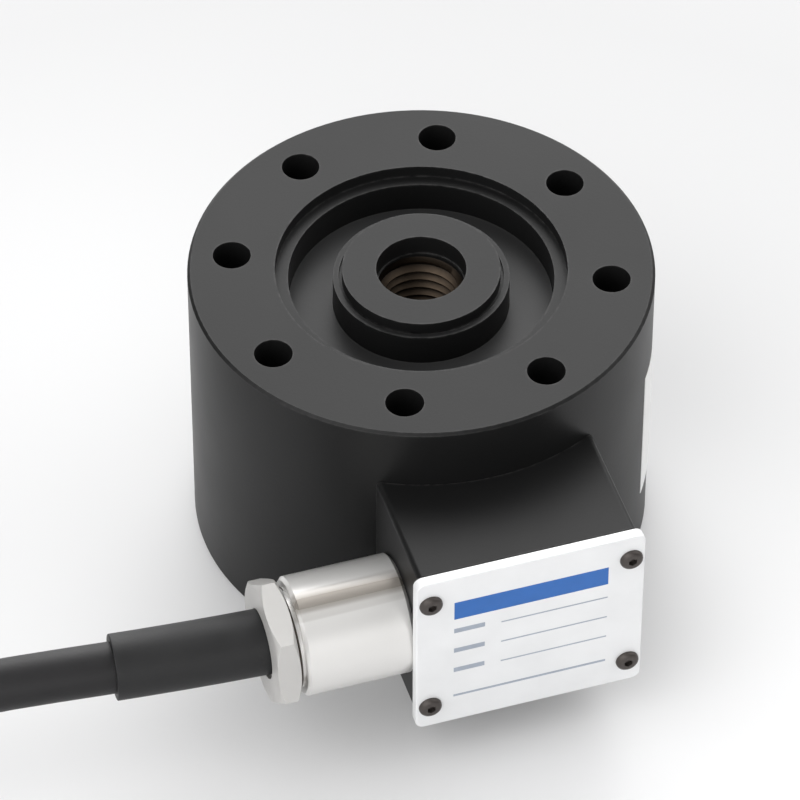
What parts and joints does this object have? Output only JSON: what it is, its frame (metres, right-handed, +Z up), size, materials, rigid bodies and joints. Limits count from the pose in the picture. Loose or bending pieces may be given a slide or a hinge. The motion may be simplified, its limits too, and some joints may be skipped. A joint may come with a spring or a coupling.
{
  "type": "load cell",
  "caption": "Low-profile ring load cell: round body with a recessed top, a threaded centre hub and a ring of bolt holes, a side junction box with a cover plate, and a cable in a gland.",
  "frame": {"origin": "centre of the bolt circle on the ring's base face", "axes": "+Z up along the loading axis, -Y towards the cover plate of the junction box, -X along the cable gland"},
  "size_m": [0.2973, 0.1664, 0.06],
  "materials": {
    "black_paint": "satin black paint on steel",
    "plate_satin": "satin, pale",
    "black_screw": "black oxide",
    "steel": "turned, bright",
    "spacer_brass": "turned",
    "black_rubber": "matte",
    "cable_jacket": "matte",
    "tie_plastic": "matte",
    "gauge_film": "matte",
    "loom_jacket": "matte",
    "board_green": "satin",
    "block_plastic": "matte",
    "resistor_body": "matte",
    "core_black": "matte",
    "core_white": "matte",
    "core_green": "matte",
    "core_red": "matte",
    "bare_copper": "bare copper strands"
  },
  "bodies": {
    "root": {"elastic_body": "black_paint", "upper_seal_ring": "black_paint", "base_cover": "black_paint", "junction_box": "black_paint", "cover_plate": "plate_satin", "cover_screws": "black_screw", "gland_body": "steel", "gland_nut": "steel", "gland_washer": "steel", "box_screws": "steel", "board_screws": "steel", "board_spacers": "spacer_brass", "cover_gasket": "black_rubber", "gland_seal": "black_rubber", "gland_grommet": "black_rubber", "cable_sleeve": "black_rubber", "end_sleeve": "black_rubber", "cable": "cable_jacket", "cable_entry": "cable_jacket", "cable_coil": "cable_jacket", "coil_ties": "tie_plastic", "strain_gauges": "gauge_film", "bridge_wires": "loom_jacket", "terminal_board": "board_green", "terminal_block": "block_plastic", "trim_resistors": "resistor_body", "core_black": "core_black", "lead_black": "core_black", "core_white": "core_white", "lead_white": "core_white", "core_green": "core_green", "lead_green": "core_green", "core_red": "core_red", "lead_red": "core_red", "lead_tips": "bare_copper"}
  },
  "joints": []
}
